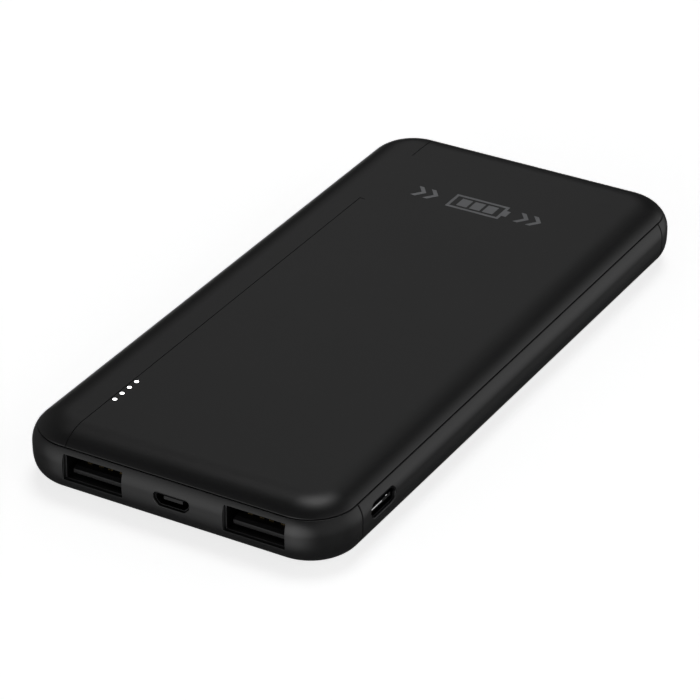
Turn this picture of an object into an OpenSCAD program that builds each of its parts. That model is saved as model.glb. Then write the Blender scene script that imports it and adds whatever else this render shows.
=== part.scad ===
// Slim pocket power bank: two USB-A outputs and a micro-B input in one end, a USB-C port in
// the right-hand side, a charge gauge of four lights in the top and a power key in the left side.
// Origin: middle of the underside. +X: the USB-C side, -Y: the end with the ports, +Z: up.

/* [Case] */
// Width across the long sides
case_w = 70; // [69:0.5:72]
// Length between the two ends
case_l = 147.5; // [147:0.5:150]
// Thickness, with the ink on the top
case_h = 13.1; // [13:0.1:13.6]
// Corner radius seen from above, at the widest height
corner_r = 10.6; // [10.4:0.1:11]
// Height of the widest line round the sides
waist_z = 7.05; // [6.9:0.05:7.2]
// How far the upper edge curve reaches in over the top
crown_in = 7.8; // [7:0.1:8.4]
// Fullness of the upper edge curve (2 is an ellipse)
crown_n = 2.18; // [2:0.02:2.6]
// How far the lower edge curve reaches in under the bottom
keel_in = 10.3; // [9.6:0.1:10.3]
// Fullness of the lower edge curve
keel_n = 3.41; // [3.2:0.01:3.6]
// Wall thickness of the mouldings
wall = 1.5; // [1.4:0.05:1.6]
// Flat steps in each edge curve
curve_steps = 10; // [8:1:12]

/* [Seams] */
// Height of the line where the top cover meets the lower mouldings
parting_z = 10.42; // [10.3:0.02:10.6]
// Gap at that line
parting_gap = 0.15; // [0.12:0.01:0.2]
// Gap at the two upright seams
seam_gap = 0.25; // [0.2:0.05:0.3]
// Y of the seam between port cap and bottom cover
front_seam_y = -62.4; // [-62.8:0.1:-62]
// Y of the seam between bottom cover and plain cap
rear_seam_y = 62.9; // [62.5:0.1:63.3]
// Clearance between mouldings that overlap inside
fit_gap = 0.15; // [0.12:0.01:0.2]

/* [Top line] */
// X of the fine line along the top
groove_x = -23.2; // [-23.6:0.1:-23]
// Width of the line
groove_w = 0.2; // [0.15:0.05:0.4]
// Depth of the line
groove_d = 0.2; // [0.15:0.05:0.4]
// Y where the long stretch ends in a short hook
hook_y = 37.9; // [34:0.1:42]
// Length of the hook
hook_l = 1.3; // [1:0.1:2]
// Y where the short rear stretch starts
tail_y = 60.4; // [58:0.1:63]

/* [USB-A outputs] */
// X of the left socket
usb_a_left_x = -16.6; // [-16.8:0.1:-16.2]
// X of the right socket
usb_a_right_x = 18.5; // [18.2:0.1:18.8]
// Height of the sockets' middle
usb_a_z = 6.75; // [6.7:0.01:6.8]
// Width of the opening in the cap
usb_a_opening_w = 13; // [12.9:0.05:13.1]
// Height of the opening in the cap
usb_a_opening_h = 5.33; // [5.25:0.01:5.4]
// Width of the metal shell, outside
usb_a_shell_w = 13.1; // [13:0.05:13.15]
// Height of the metal shell, outside
usb_a_shell_h = 5.7; // [5.6:0.05:5.75]
// Length of the metal shell
usb_a_shell_l = 13; // [12.8:0.1:13.2]
// Depth of the shells' rims behind the end face
usb_a_recess = 1; // [0.95:0.05:1.2]
// Thickness of the sheet metal of the shells
sheet = 0.3; // [0.25:0.05:0.3]

/* [Micro-B input] */
// X of the socket
micro_x = 0.83; // [0.6:0.01:1]
// Height of the underside of its opening
micro_z = 5.13; // [5.12:0.01:5.15]
// Width of the opening in the cap
micro_opening_w = 7.6; // [7.58:0.01:7.64]
// Height of the opening in the cap
micro_opening_h = 2.67; // [2.66:0.01:2.7]
// Width of the metal shell, outside
micro_shell_w = 7.5; // [7.44:0.02:7.5]
// Height of the metal shell, outside
micro_shell_h = 2.5; // [2.46:0.01:2.5]
// Depth of the shell's rim behind the end face
micro_recess = 0.5; // [0.4:0.05:0.8]

/* [USB-C port] */
// Y of the socket
usb_c_y = -54.7; // [-54.9:0.1:-54.5]
// Height of the socket's middle
usb_c_z = 7.05; // [7:0.01:7.1]
// Length of the opening in the side
usb_c_opening_w = 9; // [8.96:0.01:9.06]
// Height of the opening in the side
usb_c_opening_h = 3.2; // [3.16:0.01:3.26]
// Length of the metal shell, outside
usb_c_shell_w = 8.86; // [8.8:0.01:8.88]
// Height of the metal shell, outside
usb_c_shell_h = 3.06; // [3:0.01:3.08]
// Depth of the shell's rim behind the side
usb_c_recess = 0.4; // [0.3:0.05:0.5]

/* [Power key] */
// Length of the key's face
key_w = 8.6; // [8.4:0.1:8.8]
// Height of the key's face
key_h = 3.2; // [3:0.1:3.3]
// Running gap round the key
key_gap = 0.15; // [0.12:0.01:0.2]
// How far the key travels
key_travel = 0.25; // [0.2:0.05:0.3]

/* [Charge gauge] */
// X of the row of lights
led_x = -22.4; // [-22.5:0.1:-22.3]
// Y of the middle of the row
led_y = -52.95; // [-53.2:0.05:-52.7]
// Distance from light to light
led_pitch = 2.52; // [2.5:0.02:2.56]
// Diameter of each window in the top cover
led_window_d = 0.95; // [0.9:0.05:1]

/* [Board] */
// Height of the board's upper face
board_z = 5.2; // [5.2:0.01:5.21]
// Thickness of the board
board_t = 1; // [0.9:0.1:1]
// Y of the board's rear edge
board_rear_y = -44; // [-44.4:0.1:-43.8]

/* [Cells] */
// Width of one pouch cell
cell_w = 58; // [57:0.5:58]
// Length of one pouch cell
cell_l = 103; // [102:0.5:103]
// Thickness of one pouch cell
cell_t = 4.35; // [4.3:0.01:4.36]
// Y of the cells' front face
cell_y = -38; // [-38.2:0.1:-37.8]
// Height of the lower cell's underside
cell_z = 1.85; // [1.8:0.01:1.87]

/* [Hidden] */

$fn = 48;
eps = 0.05;
over = 1;                         // how far a cutter runs past what it cuts
ink_t = 0.03;
deck_z = case_h - ink_t;          // flat top of the top cover
half_w = case_w / 2;
half_l = case_l / 2;
roof_z = deck_z - wall;           // inside of the top
big = 200;

plastic = [0.12, 0.12, 0.125];
metal = [0.75, 0.75, 0.77];
gold = [0.85, 0.68, 0.3];
insulator = [0.2, 0.2, 0.21];
pouch = [0.72, 0.74, 0.77];

usb_a_opening = [usb_a_opening_w, usb_a_opening_h];
usb_a_shell_size = [usb_a_shell_w, usb_a_shell_h, usb_a_shell_l];
micro_opening = [micro_opening_w, micro_opening_h];
micro_shell_size = [micro_shell_w, micro_shell_h];
usb_c_opening = [usb_c_opening_w, usb_c_opening_h];
usb_c_shell_size = [usb_c_shell_w, usb_c_shell_h];
key_face = [key_w, key_h];
cell_size = [cell_w, cell_l, cell_t];

// Planes of the sockets' rims and of the key, worked out from the above
usb_a_front_y = -half_l + usb_a_recess;
micro_front_y = -half_l + micro_recess;
usb_c_front_x = half_w - usb_c_recess;
board_under_z = board_z - board_t;
front_post = [28, -66];
rear_post = [27.5, -46.6];
post_r = 2.1;
screw_r = 0.85;
screw_bore_r = 0.9;
screw_hole_r = 1.1;
screw_head = [1.9, 1.2];          // radius, height
screw_l = 3;
key_face_x = -half_w + 0.1;       // the key's face lies just inside the side's widest line
key_flange = [10.2, 4.4, 0.8];    // length, height, thickness
key_flange_x = -half_w + wall + 0.2;
key_nib = [0.9, 0.6];             // radius, length
plunger = [2.2, 0.9, 1.7];        // width, height, length
plunger_x = key_flange_x + key_flange[2] + key_nib[1];
switch_size = [3.2, 4.6, 2.6];    // x, y, z of the side switch
plunger_out = 0.9;                // how much of the plunger stands out of the switch
switch_x = plunger_x + plunger_out;
switch_z = board_z + 1.85;        // height of the plunger's middle
lug_ys = [-36, 0, 36];

// ---- Case outline ---------------------------------------------------------------

// Right half of the case's cross-section, t inside the surface, from the bottom up:
// each point is how far it lies in from the widest line, and its height.
function keel(t) = [for (i = [curve_steps : -1 : 1]) let (s = 90 * i / curve_steps)
    [t + (keel_in - t) * (1 - pow(cos(s), 2 / keel_n)),
     waist_z - (waist_z - t) * pow(sin(s), 2 / keel_n)]];
function crown(t) = [for (i = [0 : curve_steps]) let (s = 90 * i / curve_steps)
    [t + (crown_in - t) * (1 - pow(cos(s), 2 / crown_n)),
     waist_z + (deck_z - waist_z - t) * pow(sin(s), 2 / crown_n)]];
function edge(t) = concat(keel(t), crown(t));
function flip(points) = [for (i = [len(points) - 1 : -1 : 0]) [-points[i][0], points[i][1]]];

// A whole cross-section of half-width half
module section(half, t) {
    right = [for (p = edge(t)) [half - p[0], p[1]]];
    polygon(concat(right, flip(right)));
}

// A quarter of a turn of the edge curve about each corner's centre
module corner(t) {
    rotate_extrude(angle = 90, $fn = 96)
        polygon(concat([[0, t]], [for (p = edge(t)) [corner_r - p[0], p[1]]], [[0, deck_z - t]]));
}

// The solid inside the surface that lies t inside the case's outer surface
module body_solid(t) {
    straight_l = case_l - 2 * corner_r;
    straight_w = case_w - 2 * corner_r;
    translate([0, straight_l / 2, 0])
        rotate([90, 0, 0])
        linear_extrude(straight_l)
        section(half_w, t);
    translate([-straight_w / 2, 0, 0])
        rotate([90, 0, 90])
        linear_extrude(straight_w)
        section(half_l, t);
    for (a = [0 : 3]) {
        sx = (a == 0 || a == 3) ? 1 : -1;
        sy = (a < 2) ? 1 : -1;
        translate([sx * straight_w / 2, sy * straight_l / 2, 0])
            rotate([0, 0, 90 * a])
            corner(t);
    }
}

module slab(x0, x1, y0, y1, z0, z1) {
    translate([x0, y0, z0]) cube([x1 - x0, y1 - y0, z1 - z0]);
}

// A slab on the right-hand side (s = 1) or at the same place on the left (s = -1)
module side_slab(s, x0, x1, y0, y1, z0, z1) {
    slab(min(s * x0, s * x1), max(s * x0, s * x1), y0, y1, z0, z1);
}

// The hollow lower case, both caps and the bottom cover in one, with its open top
module lower_shell() {
    difference() {
        body_solid(0);
        body_solid(wall);
        slab(-big, big, -big, big, parting_z - parting_gap / 2, big);
    }
}

// An outline with round ends, lying in x and y, w long and h across
module stadium(w, h) {
    square([w - h, h], center = true);
    for (s = [-1, 1]) translate([s * (w - h) / 2, 0]) circle(d = h);
}

// Turns a flat outline to face +X, with its length along Y, and gives it depth towards -X
module face_x(x, y, z, depth) {
    translate([x - depth, y, z])
        rotate([90, 0, 90])
        linear_extrude(depth)
        children();
}

// Turns a flat outline to face -Y and gives it depth towards +Y
module face_y(x, y, z, depth) {
    translate([x, y + depth, z])
        rotate([90, 0, 0])
        linear_extrude(depth)
        children();
}

// Points of an arc that rounds off the corner at b, on the way from a to c
function unit(v) = v / norm(v);
function corner_arc(a, b, c, r) =
    let (u = unit(a - b), w = unit(c - b), half = acos(u * w) / 2,
         m = b + unit(u + w) * r / sin(half),
         start = b + u * r / tan(half) - m,
         end = b + w * r / tan(half) - m,
         steps = 5)
    [for (k = [0 : steps]) m + unit(start + (end - start) * k / steps) * r];

// Outline of a micro-B socket, wide side up, standing on y = 0, inset on every side,
// with its corners rounded by r
module micro_outline(size, r, inset = 0) {
    w = size[0] / 2 - inset;
    chamfer = 1.06;
    straight = size[1] * 0.42;
    p = [[-w, size[1] - inset], [-w, straight], [-w + chamfer, inset],
         [w - chamfer, inset], [w, straight], [w, size[1] - inset]];
    n = len(p);
    polygon([for (i = [0 : n - 1]) each corner_arc(p[(i + n - 1) % n], p[i], p[(i + 1) % n], r)]);
}

// ---- Mouldings ------------------------------------------------------------------

// Everything nearer the middle of the plan than the inside edge of the top cover's rim
module rim_hollow() {
    rim_in = 4.5;
    r = corner_r - rim_in;
    w = case_w - 2 * rim_in;
    l = case_l - 2 * rim_in;
    linear_extrude(case_h) {
        square([w - 2 * r, l], center = true);
        square([w, l - 2 * r], center = true);
        for (sx = [-1, 1]) for (sy = [-1, 1])
            translate([sx * (w / 2 - r), sy * (l / 2 - r)]) circle(r = r, $fn = 96);
    }
}

// Rim inside the top cover that drops behind the walls of the lower case, from rim_bottom_z up
module rim() {
    rim_t = 0.9;
    rim_bottom_z = 8.8;
    rim_start_y = -44.5;
    outer_in = wall + fit_gap;
    difference() {
        union() {
            body_solid(outer_in);
            // above the seam the rim is one with the cover's wall
            difference() {
                body_solid(wall - eps);
                slab(-big, big, -big, big, -big, parting_z + parting_gap / 2);
            }
        }
        body_solid(outer_in + rim_t);
        rim_hollow();
        slab(-big, big, -big, big, -big, rim_bottom_z);
        slab(-big, big, -big, rim_start_y, -big, big);
    }
}

// Fine line in the top: a long stretch with a hook, and a short rear stretch
module top_line() {
    x0 = groove_x - groove_w / 2;
    difference() {
        union() {
            slab(x0, x0 + groove_w, -big, hook_y, parting_z, big);
            slab(x0, x0 + hook_l, hook_y - groove_w, hook_y, parting_z, big);
            slab(x0, x0 + groove_w, tail_y, big, parting_z, big);
        }
        body_solid(groove_d);
    }
}

module snap_lugs(grow = 0) {
    lug_l = 4;
    lug_in = 2.5;
    lug_out = 1.7;
    lug_z = [8.95, 9.45];
    for (s = [-1, 1]) for (y = lug_ys)
        side_slab(s, half_w - lug_in, half_w - lug_out + grow,
                  y - lug_l / 2 - grow, y + lug_l / 2 + grow, lug_z[0] - grow, lug_z[1] + grow);
}

module top_cover() {
    tab_xs = [[-8.6, -5.2], [6.2, 10]];
    tab_y = [-half_l + 3.35, -half_l + 4.3];
    tab_bottom_z = 8.6;
    color(plastic)
    difference() {
        union() {
            difference() {
                body_solid(0);
                body_solid(wall);
                slab(-big, big, -big, big, -big, parting_z + parting_gap / 2);
            }
            rim();
            snap_lugs();
            for (x = tab_xs) slab(x[0], x[1], tab_y[0], tab_y[1], tab_bottom_z, roof_z + eps);
        }
        top_line();
        for (i = [0 : 3])
            translate([led_x, led_y + (i - 1.5) * led_pitch, roof_z - over])
                cylinder(d = led_window_d, h = wall + 2 * over);
    }
}

// Screw post standing on the floor of the lower case
module post(x, y) {
    post_foot_z = 0.9;
    bore_z = 1.9;
    difference() {
        translate([x, y, post_foot_z]) cylinder(r = post_r, h = board_under_z - post_foot_z);
        translate([x, y, bore_z]) cylinder(r = screw_bore_r, h = board_under_z - bore_z + over);
    }
}

module bottom_cover() {
    rib_t = 0.8;
    cross_rib_y = -41.6;
    cross_rib_x = 24;
    cross_rib_top = 3.4;
    side_rib_x = cell_size[0] / 2 + 0.2;
    side_rib_ys = [-24, -8, 8, 24];
    side_rib_z = [3, 6];
    port_depth = 2.2;
    key_hole_depth = 3;
    // room for the key's flange behind the curved wall
    pocket = [key_flange[0] + 0.6, key_flange[1] + 0.5];
    pocket_out_x = -half_w + wall + 0.05;
    pocket_depth = 4.45;
    color(plastic)
    difference() {
        union() {
            intersection() {
                lower_shell();
                slab(-big, big, front_seam_y + seam_gap / 2, rear_seam_y - seam_gap / 2, -big, big);
            }
            for (s = [-1, 1]) post(s * rear_post[0], rear_post[1]);
            slab(-cross_rib_x, cross_rib_x, cross_rib_y, cross_rib_y + rib_t,
                 wall - eps, cross_rib_top);
            // short ribs that keep the cells off the side walls
            for (s = [-1, 1]) for (y = side_rib_ys)
                side_slab(s, side_rib_x, half_w - 1, y - rib_t / 2, y + rib_t / 2,
                          side_rib_z[0], side_rib_z[1]);
        }
        face_x(half_w + over, usb_c_y, usb_c_z, port_depth + over)
            stadium(usb_c_opening[0], usb_c_opening[1]);
        face_x(-half_w + key_hole_depth, usb_c_y, usb_c_z, key_hole_depth + over)
            stadium(key_face[0] + 2 * key_gap, key_face[1] + 2 * key_gap);
        face_x(pocket_out_x + pocket_depth, usb_c_y, usb_c_z, pocket_depth)
            square(pocket, center = true);
        snap_lugs(fit_gap);
    }
}

// Side tongues of a cap that slide in behind the side walls of the bottom cover.
// seam is the cap's seam plane, dir is -1 for the port cap and 1 for the plain cap.
module cap_tongues(seam, dir, reach) {
    tongue_t = 1.1;
    tongue_z = [5, 7.9];
    root = 2.2;
    out_x = half_w - wall - fit_gap;
    y_far = seam - dir * reach;
    y_root = seam + dir * root;
    y_edge = seam + dir * seam_gap / 2;
    for (s = [-1, 1]) {
        side_slab(s, out_x - tongue_t, out_x, min(y_far, y_root), max(y_far, y_root),
                  tongue_z[0], tongue_z[1]);
        side_slab(s, out_x - tongue_t, half_w - 1, min(y_edge, y_root), max(y_edge, y_root),
                  tongue_z[0], tongue_z[1]);
    }
}

module front_cap() {
    pocket_gap = 0.1;
    pocket_y = usb_a_front_y - 0.05;
    pocket_l = 8;
    cut_l = 4;
    micro_corner_r = 0.75;
    shell = usb_a_shell_size;
    color(plastic)
    difference() {
        union() {
            intersection() {
                lower_shell();
                slab(-big, big, -big, front_seam_y - seam_gap / 2, -big, big);
            }
            for (s = [-1, 1]) post(s * front_post[0], front_post[1]);
            cap_tongues(front_seam_y, -1, 2);
        }
        for (x = [usb_a_left_x, usb_a_right_x]) {
            face_y(x, -half_l - over, usb_a_z, cut_l + over) square(usb_a_opening, center = true);
            face_y(x, pocket_y, usb_a_z, pocket_l)
                square([shell[0] + 2 * pocket_gap, shell[1] + 2 * pocket_gap], center = true);
        }
        face_y(micro_x, -half_l - over, micro_z, cut_l + over)
            micro_outline(micro_opening, micro_corner_r);
    }
}

module rear_cap() {
    color(plastic)
    union() {
        intersection() {
            lower_shell();
            slab(-big, big, rear_seam_y + seam_gap / 2, big, -big, big);
        }
        cap_tongues(rear_seam_y, 1, 3.4);
    }
}

// Arrowhead that points to +X
module chevron(w, h, t) {
    polygon([[0, h / 2], [t, h / 2], [w, 0], [t, -h / 2], [0, -h / 2], [w - t, 0]]);
}

// Ink on the top: a battery sign with charge bars, with arrowheads before and after it
module printed_mark() {
    mark_y = 46.6;
    battery = [12.4, 5.8];
    line = 0.65;
    bar = [2.4, 3.2];
    terminal = [1, 2.4];
    arrow = [2.7, 4.2, 1.1];
    arrow_pitch = 2.9;
    arrow_xs = [-14.9, 9.3];
    color([0.38, 0.38, 0.39])
    translate([0, mark_y, deck_z])
    linear_extrude(ink_t) {
        difference() {
            square(battery, center = true);
            square([battery[0] - 2 * line, battery[1] - 2 * line], center = true);
        }
        translate([(battery[0] + terminal[0]) / 2, 0]) square(terminal, center = true);
        for (i = [-1 : 1]) translate([i * (bar[0] + line), 0]) square(bar, center = true);
        for (x = arrow_xs) for (i = [0, 1])
            translate([x + i * arrow_pitch, 0]) chevron(arrow[0], arrow[1], arrow[2]);
    }
}

// ---- Power key and its switch -----------------------------------------------------

module power_button() {
    color(plastic) {
        face_x(key_flange_x + eps, usb_c_y, usb_c_z, key_flange_x + eps - key_face_x)
            stadium(key_face[0], key_face[1]);
        face_x(key_flange_x + key_flange[2], usb_c_y, usb_c_z, key_flange[2])
            stadium(key_flange[0], key_flange[1]);
        translate([key_flange_x + key_flange[2] - eps, usb_c_y, switch_z])
            rotate([0, 90, 0])
            cylinder(r = key_nib[0], h = key_nib[1] + eps);
    }
}

module switch_plunger() {
    color([0.85, 0.83, 0.78])
    translate([plunger_x, usb_c_y - plunger[0] / 2, switch_z - plunger[1] / 2])
        cube([plunger[2], plunger[0], plunger[1]]);
}

module switch_body() {
    play = 0.1;                   // clearance round the plunger
    end_play = 0.3;               // room left behind it at full travel
    bore_l = plunger[2] - plunger_out + key_travel + end_play;
    half = [plunger[0] / 2 + play, plunger[1] / 2 + play];
    color(metal)
    difference() {
        translate([switch_x, usb_c_y - switch_size[1] / 2, board_z]) cube(switch_size);
        slab(switch_x - over, switch_x + bore_l, usb_c_y - half[0], usb_c_y + half[0],
             switch_z - half[1], switch_z + half[1]);
    }
}

// ---- Board and its screws --------------------------------------------------------

module main_board() {
    edge_in = 2.9;
    notch_gap = 0.2;
    shell = usb_a_shell_size;
    color([0.05, 0.32, 0.16])
    difference() {
        intersection() {
            translate([0, 0, board_under_z])
                linear_extrude(board_t)
                union() {
                    w = half_w - edge_in;
                    l = half_l - edge_in;
                    r = corner_r - edge_in;
                    square([2 * (w - r), 2 * l], center = true);
                    square([2 * w, 2 * (l - r)], center = true);
                    for (sx = [-1, 1]) for (sy = [-1, 1])
                        translate([sx * (w - r), sy * (l - r)]) circle(r = r);
                }
            slab(-big, big, -big, board_rear_y, -big, big);
        }
        for (x = [usb_a_left_x, usb_a_right_x])
            slab(x - shell[0] / 2 - notch_gap, x + shell[0] / 2 + notch_gap, -big,
                 usb_a_front_y + shell[2] + notch_gap, -big, big);
        for (s = [-1, 1]) for (p = [front_post, rear_post])
            translate([s * p[0], p[1], board_under_z - over])
                cylinder(r = screw_hole_r, h = board_t + 2 * over);
    }
}

module board_screws() {
    slot = [0.5, 2.4, 0.5];       // width, length and depth of each bar of the cross
    color(metal)
    for (s = [-1, 1]) for (p = [front_post, rear_post])
        translate([s * p[0], p[1], board_z])
        difference() {
            union() {
                cylinder(r = screw_head[0], h = screw_head[1]);
                translate([0, 0, -screw_l]) cylinder(r = screw_r, h = screw_l + eps);
            }
            for (a = [0, 90]) rotate([0, 0, a])
                translate([-slot[0] / 2, -slot[1] / 2, screw_head[1] - slot[2]])
                cube([slot[0], slot[1], slot[2] + over]);
        }
}

// ---- USB-A sockets ----------------------------------------------------------------

// Sheet-metal shell, open at both ends, with ears that rest on the board
module usb_a_shell(x) {
    s = usb_a_shell_size;
    ear = [1.3, 2.2];
    ear_ys = [3.2, 9.6];
    leaf = [1.8, 5];
    leaf_x = 3.1;
    leaf_y = usb_a_front_y + 2.6;
    color(metal)
    difference() {
        union() {
            face_y(x, usb_a_front_y, usb_a_z, s[2]) square([s[0], s[1]], center = true);
            for (e = ear_ys) slab(x - s[0] / 2 - ear[0], x + s[0] / 2 + ear[0],
                usb_a_front_y + e - ear[1] / 2, usb_a_front_y + e + ear[1] / 2,
                board_z, board_z + sheet);
        }
        face_y(x, usb_a_front_y - over, usb_a_z, s[2] + 2 * over)
            square([s[0] - 2 * sheet, s[1] - 2 * sheet], center = true);
        // two windows in the roof, where the spring leaves are cut out
        for (k = [-1, 1])
            slab(x + k * leaf_x - leaf[0] / 2, x + k * leaf_x + leaf[0] / 2,
                 leaf_y, leaf_y + leaf[1], usb_a_z, big);
    }
}

usb_a_floor_z = usb_a_z - usb_a_shell_size[1] / 2 + sheet;
usb_a_tongue_y = usb_a_front_y + 1.25;
usb_a_block_in = 10.4;                // depth at which the block starts
usb_a_block_y = usb_a_front_y + usb_a_block_in;
usb_a_tongue_z = [0.55, 1.4, 1.85];   // underside, top of the front face, top, above the floor

// Plastic insert: a tongue with a sloped nose, and the block that closes the shell's back
module usb_a_tongue(x) {
    tongue_w = 11.3;
    nose = 0.9;
    block_gap = 0.05;
    z = usb_a_tongue_z;
    s = usb_a_shell_size;
    block = [s[0] - 2 * (sheet + block_gap), s[1] - 2 * (sheet + block_gap)];
    color(insulator)
    union() {
        translate([x - tongue_w / 2, usb_a_tongue_y, usb_a_floor_z])
            rotate([90, 0, 90])
            linear_extrude(tongue_w)
            polygon([[0, z[0]], [0, z[1]], [nose, z[2]],
                     [usb_a_block_y - usb_a_tongue_y + eps, z[2]],
                     [usb_a_block_y - usb_a_tongue_y + eps, z[0]]]);
        face_y(x, usb_a_block_y, usb_a_z, s[2] - usb_a_block_in) square(block, center = true);
    }
}

module usb_a_contacts(x) {
    contact = [1, 0.15];
    contact_in = 2.4;
    tail = 0.35;
    back_y = usb_a_front_y + usb_a_shell_size[2];
    color(gold)
    for (c = [-3.5, -1, 1, 3.5]) {
        slab(x + c - contact[0] / 2, x + c + contact[0] / 2, usb_a_tongue_y + contact_in, usb_a_block_y,
             usb_a_floor_z + usb_a_tongue_z[2], usb_a_floor_z + usb_a_tongue_z[2] + contact[1]);
        slab(x + c - tail, x + c + tail, back_y, back_y + tail, board_z, usb_a_z);
    }
}

module usb_a_left_shell() { usb_a_shell(usb_a_left_x); }
module usb_a_left_tongue() { usb_a_tongue(usb_a_left_x); }
module usb_a_left_contacts() { usb_a_contacts(usb_a_left_x); }
module usb_a_right_shell() { usb_a_shell(usb_a_right_x); }
module usb_a_right_tongue() { usb_a_tongue(usb_a_right_x); }
module usb_a_right_contacts() { usb_a_contacts(usb_a_right_x); }

// ---- Micro-B socket ---------------------------------------------------------------

micro_l = 5.4;
micro_sheet = 0.25;
micro_block_l = 1.4;
micro_tongue_z = board_z + 1.15;
micro_tongue_t = 0.7;
micro_shell_r = 0.65;

module micro_usb_shell() {
    color(metal)
    difference() {
        face_y(micro_x, micro_front_y, board_z, micro_l)
            micro_outline(micro_shell_size, micro_shell_r);
        face_y(micro_x, micro_front_y - over, board_z, micro_l + 2 * over)
            micro_outline(micro_shell_size, micro_shell_r - micro_sheet, micro_sheet);
    }
}

module micro_usb_tongue() {
    tongue_w = 4.1;
    tongue_in = 0.3;
    block_in = micro_sheet + 0.05;
    back_y = micro_front_y + micro_l;
    color(insulator)
    union() {
        slab(micro_x - tongue_w / 2, micro_x + tongue_w / 2, micro_front_y + tongue_in,
             back_y - eps, micro_tongue_z, micro_tongue_z + micro_tongue_t);
        face_y(micro_x, back_y - micro_block_l, board_z, micro_block_l)
            micro_outline(micro_shell_size, micro_shell_r - block_in, block_in);
    }
}

module micro_usb_contacts() {
    contact = [0.35, 0.1];
    contact_in = 0.7;
    pitch = 0.65;
    color(gold)
    for (i = [-2 : 2])
        slab(micro_x + i * pitch - contact[0] / 2, micro_x + i * pitch + contact[0] / 2,
             micro_front_y + contact_in, micro_front_y + micro_l - micro_block_l,
             micro_tongue_z - contact[1], micro_tongue_z);
}

// ---- USB-C socket -----------------------------------------------------------------

usb_c_sheet = 0.26;
usb_c_l = 7.3;
usb_c_block_l = 1.6;
usb_c_tongue_t = 0.7;

module usb_c_shell() {
    s = usb_c_shell_size;
    foot = [1, 1.2];
    foot_ins = [3.6, 6];
    foot_y = 2;
    under_z = usb_c_z - s[1] / 2;
    color(metal)
    union() {
        difference() {
            face_x(usb_c_front_x, usb_c_y, usb_c_z, usb_c_l) stadium(s[0], s[1]);
            face_x(usb_c_front_x + over, usb_c_y, usb_c_z, usb_c_l + 2 * over)
                stadium(s[0] - 2 * usb_c_sheet, s[1] - 2 * usb_c_sheet);
        }
        for (dx = foot_ins) for (k = [-1, 1])
            slab(usb_c_front_x - dx - foot[0] / 2, usb_c_front_x - dx + foot[0] / 2,
                 usb_c_y + k * foot_y - foot[1] / 2, usb_c_y + k * foot_y + foot[1] / 2,
                 board_z, under_z + usb_c_sheet / 2);
    }
}

module usb_c_tongue() {
    tongue_w = 6.69;
    s = usb_c_shell_size;
    tip_in = 0.1;
    root_in = 0.5;
    block_gap = 0.03;
    inner = [s[0] - 2 * (usb_c_sheet + block_gap), s[1] - 2 * (usb_c_sheet + block_gap)];
    color(insulator)
    union() {
        slab(usb_c_front_x - usb_c_l + root_in, usb_c_front_x - tip_in,
             usb_c_y - tongue_w / 2, usb_c_y + tongue_w / 2,
             usb_c_z - usb_c_tongue_t / 2, usb_c_z + usb_c_tongue_t / 2);
        face_x(usb_c_front_x - usb_c_l + usb_c_block_l, usb_c_y, usb_c_z, usb_c_block_l)
            stadium(inner[0], inner[1]);
    }
}

module usb_c_contacts() {
    contact = [0.25, 0.06];
    contact_in = 1.2;
    pitch = 0.5;
    color(gold)
    for (k = [-1, 1]) for (i = [0 : 11]) {
        y = usb_c_y + (i - 5.5) * pitch;
        z0 = usb_c_z + k * usb_c_tongue_t / 2;
        slab(usb_c_front_x - usb_c_l + usb_c_block_l, usb_c_front_x - contact_in,
             y - contact[0] / 2, y + contact[0] / 2, min(z0, z0 + k * contact[1]),
             max(z0, z0 + k * contact[1]));
    }
}

// ---- Charge gauge -----------------------------------------------------------------

gauge_z = 9.4;                        // top of the baffle, where the light guide rests
gauge_size = [4.6, 10.8];
gauge_x = led_x - 0.2;
well = [1.7, 1.9];
guide_top_z = roof_z - 0.15;

// Clear moulding: a bar with a peg down each well and a pin up each window
module light_guide() {
    pin_d = led_window_d - 0.1;
    pin_top_z = deck_z - 0.05;
    peg_d = 1.3;
    peg_z = 7.2;
    half = [gauge_size[0] / 2 - 0.3, gauge_size[1] / 2 - 0.3];
    color([0.9, 0.95, 1, 0.6])
    union() {
        slab(gauge_x - half[0], gauge_x + half[0], led_y - half[1], led_y + half[1],
             gauge_z, guide_top_z);
        for (i = [0 : 3]) translate([led_x, led_y + (i - 1.5) * led_pitch, 0]) {
            translate([0, 0, guide_top_z - eps])
                cylinder(d = pin_d, h = pin_top_z - guide_top_z + eps);
            translate([0, 0, peg_z]) cylinder(d = peg_d, h = gauge_z - peg_z + eps);
        }
    }
}

// Black spacer that keeps each light to its own window
module light_baffle() {
    color(plastic)
    difference() {
        slab(gauge_x - gauge_size[0] / 2, gauge_x + gauge_size[0] / 2,
             led_y - gauge_size[1] / 2, led_y + gauge_size[1] / 2, board_z, gauge_z);
        for (i = [0 : 3])
            slab(led_x - well[0] / 2, led_x + well[0] / 2,
                 led_y + (i - 1.5) * led_pitch - well[1] / 2,
                 led_y + (i - 1.5) * led_pitch + well[1] / 2,
                 board_z - over, gauge_z + over);
    }
}

module charge_leds() {
    led = [1.2, 1.6, 0.7];
    color([0.95, 0.95, 0.9])
    for (i = [0 : 3])
        translate([led_x - led[0] / 2, led_y + (i - 1.5) * led_pitch - led[1] / 2, board_z]) cube(led);
}

// ---- Parts on the board -----------------------------------------------------------

module power_inductor() {
    size = [7.2, 6.8, 4.2];
    pad = [1.2, 3.2, 0.2];
    lift = 0.2;
    at = [1, -52.5];
    color([0.3, 0.3, 0.32]) {
        translate([at[0] - size[0] / 2, at[1] - size[1] / 2, board_z + lift])
            cube([size[0], size[1], size[2] - lift]);
        for (k = [-1, 1])
            translate([at[0] + k * (size[0] - pad[0]) / 2 - pad[0] / 2, at[1] - pad[1] / 2, board_z])
                cube(pad);
    }
}

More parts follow.
